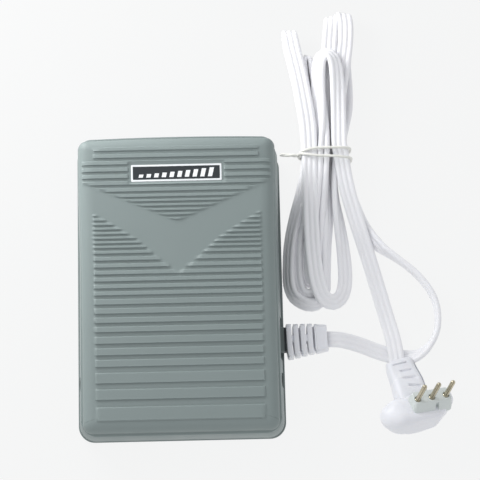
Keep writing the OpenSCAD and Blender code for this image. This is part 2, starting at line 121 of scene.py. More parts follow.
def spline(points, step):
    """Centripetal Catmull-Rom through rows whose first three columns are a place, resampled every step."""
    p = np.asarray(points, float)
    p = np.vstack([2 * p[0] - p[1], p, 2 * p[-1] - p[-2]])
    out = []
    for k in range(len(p) - 3):
        q = p[k:k + 4]
        t = np.concatenate([[0], np.cumsum(np.sqrt(np.linalg.norm(np.diff(q[:, :3], axis=0), axis=1)))])
        s = np.linspace(t[1], t[2], 24, endpoint=False)[:, None]
        a = [(t[i + 1] - s) / (t[i + 1] - t[i]) * q[i] + (s - t[i]) / (t[i + 1] - t[i]) * q[i + 1] for i in range(3)]
        b = [(t[i + 2] - s) / (t[i + 2] - t[i]) * a[i] + (s - t[i]) / (t[i + 2] - t[i]) * a[i + 1] for i in range(2)]
        out.append((t[2] - s) / (t[2] - t[1]) * b[0] + (s - t[1]) / (t[2] - t[1]) * b[1])
    out.append(p[-2][None])
    fine = np.vstack(out)
    run = np.concatenate([[0], np.cumsum(np.linalg.norm(np.diff(fine[:, :3], axis=0), axis=1))])
    n = max(2, int(round(run[-1] / step)) + 1)
    at = np.linspace(0, run[-1], n)
    return np.stack([np.interp(at, run, fine[:, c]) for c in range(fine.shape[1])], axis=1), run[-1]


def swept(path, across, outline):
    """Verts and faces of an outline (n, 2) swept along path, its first axis turned to across, with end caps."""
    path, outline = np.asarray(path, float), np.asarray(outline, float)
    along = unit(np.gradient(path, axis=0))
    w = unit(across - along * np.sum(across * along, axis=1, keepdims=True))
    up = np.cross(along, w)
    n, m = len(outline), len(path)
    verts = (path[:, None] + outline[None, :, :1] * w[:, None] + outline[None, :, 1:] * up[:, None]).reshape(-1, 3)
    i, j = np.meshgrid(np.arange(m - 1), np.arange(n), indexing="ij")
    a, b = i * n + j, i * n + (j + 1) % n
    faces = np.stack([a, a + n, b + n, b], -1).reshape(-1, 4).tolist()
    return verts, faces + [list(range(n)), list(range((m - 1) * n, m * n))[::-1]]


# -------------------------------------------------- the cord
CORD_W, CORD_T, CORD_GROOVE, CORD_STEP = 8.0, 3.0, 0.42, 2.4
# Where the cord leaves the strain relief, and its route to the hank: x, y, z, roll
PEDAL_ROUTE = [
    (72.7, -24.6, 8.8, 0), (79, -24.7, 7.4, 0), (85.5, -25.9, 4.9, 0), (92, -27.8, 2.9, 0),
    (99, -30.5, 1.8, 0), (107.5, -33, 1.9, 6), (115.5, -33.6, 3, 35), (121.2, -31.2, 3.8, 65),
    (125.8, -26.4, 4.1, 85), (128.4, -21.2, 4.2, 90), (129.4, -14.8, 4.2, 90), (129, -8.6, 4.2, 90),
    (127.2, -2.6, 4.2, 90), (122.6, 4.9, 4.2, 90), (117.4, 10.6, 4.2, 90), (110.4, 16.4, 4.2, 88),
    (103.4, 21.6, 3.9, 70), (98.2, 26.6, 3, 40), (94, 32.4, 2.4, 18), (90.6, 39.6, 2.5, 20),
    (88, 48, 3.2, 42), (86, 57, 4, 75), (84.8, 65.2, 4.4, 90)]
# Its route from the hank to the plug's boot
PLUG_ROUTE = [
    (83.2, 69.2, 11.5, 0), (84.4, 60.2, 10, 0), (86, 51.8, 8.6, 0), (88.9, 40.5, 6.9, 0),
    (91.5, 31, 6.3, 0), (95.2, 18.9, 3.8, 0), (99.8, 2.2, 1.8, 0), (103.8, -13.8, 2.6, 0),
    (106.3, -24.8, 4.6, 0), (107.4, -32.8, 5.4, 0), (107.8, -38.3, 4.9, 0)]
WAIST_Y = 73.7  # where the tie draws the hank together
# The hank: ten passes through the waist, between five folds above it and four below. Each row is x, y, z, then
# where the flat cord's width points: its heading in plan and its tilt, in degrees.
HANK = [
    # 1 up on the right, over the outer fold at the top, 2 down beside it
    (84.0, WAIST_Y, 6.0, 0, 90), (85.8, 85, 4.9, 0, 72), (87.0, 96, 3.6, 0, 38), (87.0, 107, 2.8, 0, 10),
    (86.6, 120, 2.7, 0, 0), (87.8, 132, 2.9, 0, 0), (87.6, 141.5, 3.6, -8, 0), (87.3, 145.0, 6.2, -10, 0),
    (87.3, 144.6, 9.4, -10, 0), (87.9, 139, 11.0, -6, 0), (87.4, 129, 10.6, 0, 0), (85.6, 117, 9.6, 0, 10),
    (83.6, 103, 8.6, 0, 38), (81.9, 90, 7.2, 0, 74), (80.8, WAIST_Y, 6.0, 0, 90), (79.8, 61, 5.6, 184, 88),
    (79.9, 49, 5.2, 184, 76), (81.5, 35, 4.5, 184, 52), (82.9, 22, 4.2, 182, 36), (83.5, 11, 4.2, 178, 28),
    (83.0, 3, 4.5, 160, 26), (80.6, -3.2, 5.4, 125, 22), (76.4, -5.6, 7.2, 85, 14), (72.2, -3.6, 9.2, 42, 4),
    (69.2, 3.4, 10.2, 14, 0), (67.5, 16, 10.6, 0, 0), (66.8, 32, 10.9, 0, 0), (66.8, 49, 11.8, 0, 0),
    (67.0, 62, 12.5, 0, 0),
    # 3 up as the flat strand in front, over the end of the left lobe, 4 down under it
    (67.2, WAIST_Y, 12.7, 0, 0), (66.8, 86, 13.1, 0, 0), (65.0, 100, 13.9, 0, 0), (62.6, 114, 14.0, 0, 0),
    (60.2, 126, 13.4, 0, 0), (59.0, 133.0, 12.4, 0, 0), (58.7, 135.8, 9.3, 0, 0), (58.8, 135.2, 6.2, 0, 0),
    (59.2, 132.0, 3.6, 0, 0), (60.2, 126, 3.0, 0, 0), (62.5, 115, 3.0, 0, 0), (64.9, 101, 3.1, 0, 0),
    (66.8, 86, 3.3, 0, 0), (67.2, WAIST_Y, 3.4, 0, 0), (66.5, 64, 3.4, 0, 6), (63.4, 52, 3.8, 0, 24),
    (59.2, 39, 4.1, 0, 42), (56.2, 26, 4.2, 0, 48), (55.1, 14, 4.2, 0, 50),
    # the widest of three nested folds at the bottom, 5 up in the middle, over the inner fold at the top, 6 down
    (55.2, 4, 4.2, 8, 50), (57.2, -1.6, 4.3, 42, 48), (61.2, -4.8, 4.4, 68, 46), (65.6, -6.2, 4.4, 90, 46),
    (70.0, -4.8, 4.4, 122, 48), (72.8, 1.0, 4.4, 156, 52), (73.6, 10, 4.5, 172, 58), (74.6, 24, 4.8, 180, 62),
    (75.8, 38, 4.6, 180, 56), (76.2, 52, 4.0, 180, 38), (75.6, 63, 3.5, 180, 16),
    (75.3, WAIST_Y, 3.4, 180, 0), (75.6, 86, 3.3, 180, 4), (77.2, 99, 3.1, 180, 6), (78.6, 112, 2.9, 180, 0),
    (79.4, 126, 2.9, 184, 0), (80.6, 138.5, 3.5, 194, 0), (81.1, 143.6, 5.8, 198, 0), (81.0, 143.4, 8.6, 198, 0),
    (80.4, 138.8, 10.6, 194, 0), (79.2, 127, 10.2, 184, 0), (78.4, 113, 9.4, 180, 8), (77.6, 99, 9.4, 180, 36),
    (76.6, 86, 10.1, 180, 74),
    (76.0, WAIST_Y, 10.5, 180, 90), (75.2, 61, 9.4, 180, 84), (74.2, 46, 7.2, 180, 68), (73.0, 30, 5.6, 180, 58),
    (71.6, 16, 4.9, 180, 54),
    # the middle one of the nested folds, 7 up
    (70.4, 6.0, 4.7, 168, 50), (68.2, 0.2, 4.6, 130, 48), (64.6, -1.6, 4.6, 92, 46), (61.2, 0.2, 4.5, 56, 48),
    (59.4, 5.4, 4.4, 14, 50), (59.0, 15, 4.4, 0, 50), (59.8, 27, 4.5, 0, 50), (62.2, 40, 5.0, 0, 42),
    (65.2, 53, 5.7, 0, 22), (66.9, 64, 6.3, 0, 6), (67.2, WAIST_Y, 6.5, 0, 0), (67.6, 84, 6.6, 0, 22),
    (67.9, 97, 6.8, 0, 60), (67.0, 108, 7.0, 0, 84), (66.2, 115, 7.2, 0, 88),
    # the short fold behind the flat strand, 8 down
    (66.0, 120.0, 7.3, 0, 90), (66.8, 122.4, 7.4, 0, 90), (68.4, 122.4, 7.4, 0, 90), (69.2, 120.0, 7.4, 0, 90),
    (69.6, 115, 7.5, 0, 88), (70.4, 108, 7.7, 0, 82), (70.8, 97, 8.4, 0, 60), (68.6, 84, 9.4, 0, 20),
    (67.2, WAIST_Y, 9.6, 0, 0), (67.1, 63, 9.2, 0, 8), (67.0, 52, 8.0, 0, 26), (65.9, 39, 6.2, 0, 44),
    (63.9, 27, 5.2, 0, 50), (63.0, 17, 4.9, 0, 52),
    # the smallest of the nested folds, 9 up
    (63.0, 8.6, 4.9, 8, 54), (64.2, 5.2, 4.9, 52, 54), (66.0, 4.8, 4.9, 120, 54), (67.4, 8.4, 5.0, 172, 56),
    (68.4, 17, 5.2, 180, 56), (69.8, 31, 6.2, 180, 62), (71.0, 46, 8.0, 180, 74), (72.2, 60, 9.6, 180, 86),
    (72.9, WAIST_Y, 10.5, 0, 90), (73.2, 84, 11.6, 0, 72), (73.0, 95, 12.6, 0, 50), (72.5, 105, 13.4, 0, 36),
    # the small arch in front, then 10 down on top of the right side
    (72.7, 113.0, 14.0, -6, 34), (73.4, 118.0, 14.4, -24, 36), (75.2, 121.6, 14.7, -55, 38),
    (77.7, 122.8, 14.9, -90, 38), (80.1, 121.0, 15.0, -124, 36), (81.6, 116.2, 14.8, -156, 32),
    (82.2, 109.5, 14.4, -171, 24), (82.4, 100.5, 13.7, -177, 14), (82.4, 88, 12.9, -180, 4),
    (82.4, WAIST_Y, 12.4, -180, 0)]


def with_roll(route):
    """Turns a route with a roll into rows of place and width direction, as the CAD's sweep does."""
    p = np.array([r[:3] for r in route], float)
    roll = np.radians([r[3] for r in route])[:, None]
    ends = np.vstack([p[1:2] - p[0:1], p[2:] - p[:-2], p[-1:] - p[-2:-1]])
    t = unit(ends)
    s = unit(np.cross(t, [0, 0, 1.0]))
    u = np.cross(s, t)
    return np.hstack([p, np.cos(roll) * s + np.sin(roll) * u])


def cord_rows():
    """The whole cord's route: place and width direction, which never turns right over between two rows."""
    rows = []
    for x, y, z, heading, tilt in HANK:
        h, e = radians(heading), radians(tilt)
        rows.append((x, y, z, cos(h) * cos(e), sin(h) * cos(e), sin(e)))
    rows = np.vstack([with_roll(PEDAL_ROUTE), rows, with_roll(PLUG_ROUTE)])
    for k in range(1, len(rows)):
        if np.dot(rows[k - 1, 3:], rows[k, 3:]) < 0:
            rows[k, 3:] *= -1
    return rows


def cord_outline():
    """A flat three-core cord: three round ridges with shallow grooves between."""
    r, pitch, groove = CORD_T / 2, (CORD_W - CORD_T) / 2, CORD_GROOVE
    half = []
    for a in range(-90, 91, 18):
        half.append((pitch + r * cos(radians(a)), r * sin(radians(a))))
    top = []
    for x in (0.78, 0.62, 0.5, 0.38, 0.22, 0.0):
        x *= pitch
        near = min(abs(x), abs(x - pitch))
        top.append((x, max(sqrt(max(r * r - near * near, 0)), r - groove)))
    right = half + top
    left = [(-x, y) for x, y in top[-2::-1]] + [(-x, y) for x, y in half[::-1]]
    bottom = [(-x, -y) for x, y in top] + [(x, -y) for x, y in top[-2::-1]]
    return np.array(right + left + bottom) * MM


ROWS = cord_rows()
CORD_PATH, CORD_LENGTH = spline(np.hstack([ROWS[:, :3] * MM, ROWS[:, 3:]]), CORD_STEP * MM)


# -------------------------------------------------- materials
class Shader:
    """A procedural material: a Principled shader whose colour, roughness and bump come from noise nodes."""

    def __init__(self, name, color, rough, metallic=0.0, specular=0.5, subsurface=0.0):
        self.material = bpy.data.materials.new(name)
        self.material.use_nodes = True
        self.tree = self.material.node_tree
        self.shader = self.tree.nodes["Principled BSDF"]
        base = self.node("ShaderNodeRGB")
        base.outputs[0].default_value = (*color, 1)
        self.color = base.outputs[0]
        self.set("Roughness", rough)
        self.set("Metallic", metallic)
        self.set("Specular IOR Level", specular)
        self.set("Subsurface Weight", subsurface)
        if subsurface:
            self.shader.inputs["Subsurface Radius"].default_value = (1.0, 0.9, 0.8)
            self.set("Subsurface Scale", 0.0015)
        self.where = self.node("ShaderNodeTexCoord").outputs["Object"]

    def node(self, kind, **values):
        n = self.tree.nodes.new(kind)
        for k, v in values.items():
            setattr(n, k, v)
        return n

    def link(self, a, b):
        self.tree.links.new(a, b)

    def set(self, name, value):
        self.shader.inputs[name].default_value = value

    def noise(self, scale, detail=3.0, stretch=(1, 1, 1)):
        place = self.where
        if stretch != (1, 1, 1):
            m = self.node("ShaderNodeMapping")
            m.inputs["Scale"].default_value = stretch
            self.link(place, m.inputs["Vector"])
            place = m.outputs["Vector"]
        n = self.node("ShaderNodeTexNoise")
        n.inputs["Scale"].default_value, n.inputs["Detail"].default_value = scale, detail
        self.link(place, n.inputs["Vector"])
        return n.outputs["Fac"]

    def ramp(self, value, low, high, out_low, out_high):
        n = self.node("ShaderNodeMapRange")
        for k, v in (("From Min", low), ("From Max", high), ("To Min", out_low), ("To Max", out_high)):
            n.inputs[k].default_value = v
        self.link(value, n.inputs["Value"])
        return n.outputs["Result"]

    def times(self, a, b):
        n = self.node("ShaderNodeMath", operation="MULTIPLY")
        self.link(a, n.inputs[0])
        self.link(b, n.inputs[1])
        return n.outputs[0]

    def tint(self, factor, rgb):
        """Mixes the colour so far towards rgb by factor."""
        n = self.node("ShaderNodeMix", data_type="RGBA")
        self.link(factor, n.inputs[0])
        self.link(self.color, n.inputs[6])
        n.inputs[7].default_value = (*rgb, 1)
        self.color = n.outputs[2]
        return self

    def pointiness(self, low, high, amount):
        return self.ramp(self.node("ShaderNodeNewGeometry").outputs["Pointiness"], low, high, 0, amount)

    def worn_edges(self, rgb, amount):
        """Edges that stick out are a little paler, as handled plastic is."""
        out = self.pointiness(0.52, 0.62, amount)
        return self.tint(self.times(out, self.ramp(self.noise(900), 0.3, 0.7, 0.4, 1)), rgb)

    # painted shade: darkens hollows and creases, found by low pointiness, where shade falls
    def painted_hollow_shade(self, rgb, amount):
        return self.tint(self.pointiness(0.48, 0.40, amount), rgb)

    def bump(self, value, distance):
        n = self.node("ShaderNodeBump")
        n.inputs["Distance"].default_value, n.inputs["Strength"].default_value = distance, 1.0
        self.link(value, n.inputs["Height"])
        self.link(n.outputs["Normal"], self.shader.inputs["Normal"])

    def rough(self, value):
        self.link(value, self.shader.inputs["Roughness"])

    def done(self):
        self.link(self.color, self.shader.inputs["Base Color"])
        return self.material


def srgb(r, g, b):
    """A screen colour, 0 to 255, as the linear colour that shaders take."""
    def lin(c):
        c /= 255
        return c / 12.92 if c <= 0.04045 else ((c + 0.055) / 1.055) ** 2.4
    return lin(r), lin(g), lin(b)


def moulded(name, color, rough, grain, depth, **more):
    """Moulded plastic: fine spark texture, slow drift of tone, paler edges."""
    s = Shader(name, color, rough, **more)
    s.tint(s.ramp(s.noise(28, 4), 0.35, 0.75, 0, 0.12), tuple(min(1, c * 1.25 + 0.01) for c in color))
    s.tint(s.ramp(s.noise(9, 2), 0.4, 0.7, 0, 0.10), tuple(c * 0.8 for c in color))
    s.worn_edges(tuple(min(1, c * 1.5 + 0.03) for c in color), 0.35)
    s.rough(s.ramp(s.noise(60, 5), 0.3, 0.7, rough - 0.06, rough + 0.08))
    s.bump(s.noise(grain, 2), depth)
    return s


def metal(name, color, rough, brushed):
    """Metal with faint stains, and roughness and scratches stretched along the brushing."""
    s = Shader(name, color, rough, metallic=1.0)
    s.tint(s.ramp(s.noise(120, 5), 0.45, 0.75, 0, 0.35), tuple(c * 0.55 for c in color))
    s.rough(s.ramp(s.noise(300, 3, brushed), 0.3, 0.7, rough - 0.1, rough + 0.15))
    s.bump(s.noise(1500, 2, brushed), 20e-6)
    return s


ABS = srgb(128, 139, 138)
PLASTICS = (  # slot, colour, roughness, grains to a metre, the grain's depth in micrometres
    ("tray_plastic", tuple(c * 0.8 for c in ABS), 0.55, 1500, 50),
    ("label_black", srgb(34, 40, 44), 0.35, 900, 10),
    ("rubber", (0.018, 0.018, 0.019), 0.75, 700, 80),
    ("black_plastic", (0.022, 0.023, 0.025), 0.45, 1500, 40),
    ("white_plastic", srgb(226, 226, 220), 0.4, 1500, 30),
    ("board", srgb(150, 112, 62), 0.5, 2500, 20),
    ("ferrite", (0.05, 0.055, 0.05), 0.6, 500, 100),
    ("capacitor", srgb(196, 160, 52), 0.35, 1200, 30),
    ("ceramic", srgb(178, 104, 48), 0.4, 700, 60),
    ("resistor", srgb(206, 182, 138), 0.4, 700, 40),
    ("pot_body", srgb(52, 76, 120), 0.45, 1000, 40),
    ("trimmer", srgb(44, 104, 160), 0.4, 1000, 40),
    ("terminal", srgb(52, 128, 84), 0.42, 1000, 40),
    ("leads", srgb(200, 200, 204), 0.4, 900, 30),
    ("insert_pvc", srgb(206, 212, 210), 0.42, 1300, 30),
    ("label_white", srgb(232, 236, 238), 0.4, 900, 10),
    # painted shadow: a dark grey for the shaded gap before the strain relief's first ring
    ("painted_shadow_gap", srgb(60, 64, 68), 0.6, 900, 20))
METALS = (  # slot, colour, roughness, how the brushing is stretched
    ("steel", (0.62, 0.62, 0.63), 0.28, (1, 1, 1)),
    ("pin_metal", (0.55, 0.50, 0.38), 0.26, (1, 1, 8)),
    ("aluminium", (0.78, 0.79, 0.8), 0.35, (8, 1, 1)),
    ("copper", (0.72, 0.30, 0.12), 0.25, (1, 1, 1)),
    ("contact", (0.68, 0.52, 0.24), 0.3, (1, 1, 1)))
MATERIALS = {row[0]: moulded(*row[:4], row[4] * 1e-6).done() for row in PLASTICS}
MATERIALS.update({row[0]: metal(*row).done() for row in METALS})
MATERIALS["label"] = MATERIALS["label_black"]
# the treadle's plastic, with painted shade darkening its hollows and creases
MATERIALS["treadle_plastic"] = moulded("treadle_plastic", ABS, 0.52, 2200, 30e-6, specular=0.35).painted_hollow_shade(
    tuple(c * 0.45 for c in ABS), 0.5).done()
MATERIALS["cord_pvc"] = moulded("cord_pvc", srgb(238, 238, 241), 0.38, 500, 6e-6, subsurface=0.04).done()
MATERIALS["plug_pvc"] = moulded("plug_pvc", srgb(230, 231, 236), 0.42, 1300, 30e-6, subsurface=0.12).done()
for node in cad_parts.values():
    for slot in node.material_slots:
        slot.material = MATERIALS[slot.material.name.split(".")[0]]

cord_v, cord_f = swept(CORD_PATH[:, :3], CORD_PATH[:, 3:], cord_outline())
cord = new_object("flat_cord", cord_v, cord_f, MATERIALS["cord_pvc"])
stands_for(cord, "base", "cord_pvc", "cord_to_pedal", "cord_hank", "cord_to_plug")


def box_mesh(bm, x0, x1, y0, y1, z0, z1, place=lambda *p: np.array(p, float)):
    """A box in millimetres added to bm, each corner put where place says."""
    v = [bm.verts.new(tuple(place(x, y, z) * MM)) for z in (z0, z1) for y in (y0, y1) for x in (x0, x1)]
    for f in ((0, 2, 3, 1), (4, 5, 7, 6), (0, 1, 5, 4), (2, 6, 7, 3), (0, 4, 6, 2), (1, 3, 7, 5)):
        bm.faces.new([v[i] for i in f])


def close_rings(bm, rings, material_index=0):
    """Faces from each ring of vertices to the next, and a cap at both ends."""
    faces = [rings[0][::-1], rings[-1]]
    for a, b in zip(rings[:-1], rings[1:]):
        faces += zip(a, a[1:] + a[:1], b[1:] + b[:1], b)
    for f in faces:
        bm.faces.new(f).material_index = material_index


def rod_mesh(bm, a, b, r, n=40):
    """A closed cylinder from a to b in millimetres added to bm."""
    a, b = np.array(a, float), np.array(b, float)
    t = unit(b - a)
    s = unit(np.cross(t, [0, 0, 1.0] if abs(t[2]) < 0.9 else [1.0, 0, 0]))
    u = np.cross(t, s)
    close_rings(bm, [[bm.verts.new(tuple((p + c * s + d * u) * MM)) for c, d in circle(r, n)] for p in (a, b)])


def bm_object(name, bm, material=None, smooth=True):
    """An object from bm, which is used up."""
    bmesh.ops.recalc_face_normals(bm, faces=bm.faces)
    mesh = bpy.data.meshes.new(name)
    bm.to_mesh(mesh)
    bm.free()
    return finish_object(name, mesh, material, smooth)


def boolean(o, bm, operation="DIFFERENCE"):
    """Joins or cuts o with bm, and leaves the result as o's own mesh."""
    tool = bm_object("tool", bm)
    m = o.modifiers.new("cut", "BOOLEAN")
    m.object, m.operation, m.solver = tool, operation, "MANIFOLD"
    got = bpy.data.meshes.new_from_object(o.evaluated_get(bpy.context.evaluated_depsgraph_get()))
    spent = [o.data, tool.data]
    o.modifiers.clear()
    o.data = got
    bpy.data.objects.remove(tool)
    for mesh in spent:
        bpy.data.meshes.remove(mesh)


# -------------------------------------------------- the treadle
PEDAL_W, PEDAL_L, HEEL_H = 103.0, 146.0, 29.0
HEEL_Y = -PEDAL_L / 2
SLOPE, LOWER_SLOPE, SKIRT_LOW = radians(8.0), radians(6.25), 6.0
SIDE_DRAFT, END_DRAFT = 6.5 / 60, 2.0 / 60
LEDGE_DEPTH, WALL, PLATE_T, RIB_H, RIB_HALF = 6.0, 2.2, 2.5, 0.7, 41.0
# the ribs from the toe down: the first one's place, then how many at which spacing
RIB_FIRST = 141.85
RIB_GROUPS = [(7, 3.32), (1, 2.75), (11, 2.24), (1, 2.7), (6, 3.38), (4, 4.45), (3, 5.6), (2, 7.95), (1, 9.95)]
# the smooth V between the ribs: the outline of its right half, mirrored for the left
HALF_BAND = [(0, 29.8), (14.3, 35.9), (29.9, 42.5), (46, 49.3), (46, 36.8), (33.6, 30.0), (20.4, 21.8), (9.0, 11.6),
             (0, 4.8)]
BAND = np.array(HALF_BAND + [(-x, y) for x, y in HALF_BAND[-2:0:-1]])
LABEL_V, LABEL_W, LABEL_H, LABEL_PROUD, LABEL_SUNK = 127.6, 44.2, 8.2, 0.2, 0.7
HINGE_Y, HINGE_Z = -45.0, 15.0
SPRING_X, SPRING_Y, SPRING_LOW, SPRING_R, PLUNGER_Y = 35.0, 12.0, 7.0, 5.2, -5.0
TOE_BULGE, TOE_CORNER = 0.8, 0.72      # how far the toe's edge swells, and its corner radius against the heel's
CROWN_IN, CROWN_ROUND = 1.25, 5.55     # where the rounded crown starts inside the skirt, and how wide it is
CORNER_STEPS = 10
RIM_IN, RIM_HEEL = 8.0, 7.2            # the flat top's edge inside the skirt at the sides, and from the heel


def on_top(x, v, w):
    """A place in the treadle top's frame, in millimetres of the row frame."""
    x, v, w = np.broadcast_arrays(x, v, w)
    return np.stack([x, HEEL_Y + v * cos(SLOPE) - w * sin(SLOPE),
                     HEEL_H + v * sin(SLOPE) + w * cos(SLOPE)], -1).astype(float)


def rib_list():
    """Each rib's heel edge, toe edge and half length, from the toe down."""
    out, v = [], RIB_FIRST
    for count, step in RIB_GROUPS:
        for _ in range(count):
            v -= step
            n = len(out)
            half = 40.2 if n < 2 else (RIB_HALF + 5 if n < 6 else RIB_HALF)
            out.append((v, v + 0.68 * step - 0.3, half))
    return out


RIBS = rib_list()


def smoothstep(x):
    """From 0 to 1 as x goes from 0 to 1, level at both ends."""
    x = np.clip(x, 0, 1)
    return x * x * (3 - 2 * x)


def band_distance(x, y):
    """Signed distance to the smooth band, positive inside it."""
    best = np.full(x.shape, 1e9)
    inside = np.zeros(x.shape, bool)
    for k in range(len(BAND)):
        a, b = BAND[k], BAND[(k + 1) % len(BAND)]
        e = b - a
        t = np.clip(((x - a[0]) * e[0] + (y - a[1]) * e[1]) / (e @ e), 0, 1)
        best = np.minimum(best, np.hypot(x - a[0] - t * e[0], y - a[1] - t * e[1]))
        cross = ((a[1] > y) != (b[1] > y)) & (x < (b[0] - a[0]) * (y - a[1]) / (b[1] - a[1] + 1e-12) + a[0])
        inside ^= cross
    return np.where(inside, best, -best)


def relief(x, y):
    """How far the treadle's top stands up over its plain surface at a place in plan."""
    v = (y - HEEL_Y) / cos(SLOPE)
    h = np.zeros(x.shape)
    for v0, v1, half in RIBS:
        up = smoothstep((v - v0 + 0.12) / 0.34) * smoothstep((v1 + 0.2 - v) / 0.5)
        h = np.maximum(h, up * smoothstep((half + 0.2 - np.abs(x)) / 0.7))
    h *= smoothstep(0.5 - band_distance(x, y) / 1.6)
    near = (np.abs(x) < LABEL_W / 2 + 1.5) & (np.abs(v - LABEL_V) < LABEL_H / 2 + 1.05)
    h = np.where(near, 0, h) * RIB_H
    sunk = (np.abs(x) < LABEL_W / 2 + 0.06) & (np.abs(v - LABEL_V) < LABEL_H / 2 + 0.06)
    return np.where(sunk, -LABEL_SUNK, h)


def grid_lines():
    """Rows along the slope, close round each rib's edges, and columns across."""
    rows = [9.1, 143.0]
    for v0, v1, _ in RIBS:
        rows += [v0 - 0.14, v0 - 0.04, v0 + 0.06, v0 + 0.24, v1 - 0.34, v1 - 0.14, v1 + 0.04, v1 + 0.22]
        rows += list(np.linspace(v0 + 0.24, v1 - 0.34, max(2, int((v1 - v0) / 1.1) + 1))[1:-1])
    for side in (-1, 1):
        edge = LABEL_V + side * LABEL_H / 2
        rows += [edge + side * 0.03, edge + side * 0.09]
    lo, hi = RIM_HEEL, (PEDAL_L - END_DRAFT * 49.5 - RIM_IN) / cos(SLOPE)
    rows = sorted([lo, hi] + [v for v in rows if lo + 0.1 < v < hi - 0.05])
    keep = [rows[0]]
    for v in rows[1:]:
        gap = v - keep[-1]
        if gap < 0.03:
            continue
        if gap > 1.3:
            keep += list(np.linspace(keep[-1], v, int(gap / 1.1) + 1)[1:-1])
        keep.append(v)
    half = LABEL_W / 2
    cols = list(np.arange(0, 37.3, 0.7)) + [half + 0.03, half + 0.09]
    cols = sorted(c for c in cols if not (half + 0.1 < c < half + 0.35 or half - 0.3 < c < half + 0.02))
    cols = [-c for c in cols[:0:-1]] + cols
    return np.array(keep), np.array(cols)


# the skirt's outer skin at a height: half its width, and its distance to the ends
def skin_x(z):
    return PEDAL_W / 2 - SIDE_DRAFT * z


def skin_y(z):
    return PEDAL_L / 2 - END_DRAFT * z


def cover_profile():
    """Loops from the inside of the skirt's edge up to the flat top: inset, depth or None for the lower edge,
    lift over that plane, corner radius."""
    low = [(WALL, None, 0.0, 5.8), (0.3, None, 0.0, 7.7), (0.08, None, 0.08, 7.9), (0, None, 0.35, 8.0)]
    low += [(0, LEDGE_DEPTH + 0.4, 0, 8.0), (0.1, LEDGE_DEPTH + 0.12, 0, 7.9), (0.36, LEDGE_DEPTH, 0, 7.6),
            (1.0, LEDGE_DEPTH, 0, 5.7), (1.16, LEDGE_DEPTH - 0.12, 0, 5.3), (1.22, LEDGE_DEPTH - 0.4, 0, 5.1)]
    for k in range(16):
        a = pi / 2 * k / 15
        out = 1 - cos(a)
        low.append((CROWN_IN + CROWN_ROUND * out, 4.3 * (1 - sin(a)), 0, 5.0 - 3.9 * out))
    low.append((7.4, 0.0, 0, 0.6))
    return low


def cover_loop(rows_y, cols_low, cols_toe, inset, depth, lift, r):
    """One closed loop round the treadle, and its points' outward directions in plan."""
    def plane(y):
        if depth is None:
            return SKIRT_LOW + (y - HEEL_Y) * tan(LOWER_SLOPE) + lift
        return HEEL_H + (y - HEEL_Y) * tan(SLOPE) - depth / cos(SLOPE)

    def side(y):
        wide = 0 if depth is None else smoothstep((inset - 0.3) / 0.6) * smoothstep((7.6 - inset) / 4)
        toe = smoothstep((y - 15) / 50)
        return skin_x(plane(y)) - inset + toe + wide * (0.75 - 0.5 * y / HEEL_Y + 0.2 * toe)

    def end(sign):
        y = sign * 70.0
        for _ in range(4):
            y = sign * (skin_y(plane(y)) - inset)
        return y

    y0, y1 = end(-1), end(1)
    pts, out = [], []

    def add(x, y, nx, ny):
        if y > 0:
            w = abs(x) / side(y)
            y += TOE_BULGE * max(0.0, 1 - w * w) * smoothstep((y - 50) / 20) * max(0, 1 - inset / 7)
        pts.append((x, y, plane(y)))
        out.append((nx, ny, 0))

    def arc(sx, sy, y_end, r, shares):
        """A rounded corner, on the side sx of the end sy."""
        for share in shares:
            a = pi / 2 * share
            y = y_end + sy * (r * sin(a) - r)
            add(sx * (side(y) - r + r * cos(a)), y, sx * cos(a), sy * sin(a))

    toe_r = r * TOE_CORNER
    lo, hi = y0 + r, y1 - toe_r
    rows = np.where(rows_y < lo, lo - (lo - rows_y) * 0.01, rows_y)
    rows = np.where(rows > hi, hi + (rows - hi) * 0.01, rows)
    up = [k / CORNER_STEPS for k in range(CORNER_STEPS + 1)]
    down = up[::-1]
    for y in rows:
        add(side(y), y, 1, 0)
    arc(1, 1, y1, toe_r, up)
    for x in cols_toe[::-1]:
        add(x, y1, 0, 1)
    arc(-1, 1, y1, toe_r, down)
    for y in rows[::-1]:
        add(-side(y), y, -1, 0)
    arc(-1, -1, y0, r, up)
    for x in cols_low:
        add(x, y0, 0, -1)
    arc(1, -1, y0, r, down)
    return np.array(pts), np.array(out)


def top_grid():
    """The flat top with its ribs: vertices, faces, its outer edge in the loops' order with the corners repeated
    for the corner arcs, its rows' places and the x of its heel and toe rows."""
    rows_v, cols = grid_lines()
    rows_y = HEEL_Y + rows_v * cos(SLOPE)
    rim = skin_x(HEEL_H + (rows_y - HEEL_Y) * tan(SLOPE)) - RIM_IN
    nr, nc = len(rows_v), len(cols) + 4
    x = np.empty((nr, nc))
    x[:, 2:-2] = cols
    x[:, 0], x[:, -1] = -rim, rim
    x[:, 1], x[:, -2] = (-rim + cols[0]) / 2, (rim + cols[-1]) / 2
    lift = relief(x, np.repeat(rows_y[:, None], nc, 1))
    verts = on_top(x, np.repeat(rows_v[:, None], nc, 1), lift).reshape(-1, 3)
    i, j = np.meshgrid(np.arange(nr - 1), np.arange(nc - 1), indexing="ij")
    a = (i * nc + j).ravel()
    faces = np.stack([a, a + 1, a + nc + 1, a + nc], -1).tolist()
    right = [r * nc + nc - 1 for r in range(nr)]
    left = [r * nc for r in range(nr)]
    toe = [(nr - 1) * nc + c for c in range(1, nc - 1)]
    heel = list(range(1, nc - 1))
    turn = CORNER_STEPS + 1
    edge = right + [right[-1]] * turn + toe[::-1] + [left[-1]] * turn + left[::-1] + [left[0]] * turn + heel + \
        [right[0]] * turn
    return verts, faces, edge, rows_y, x[0, 1:-1], x[-1, 1:-1]


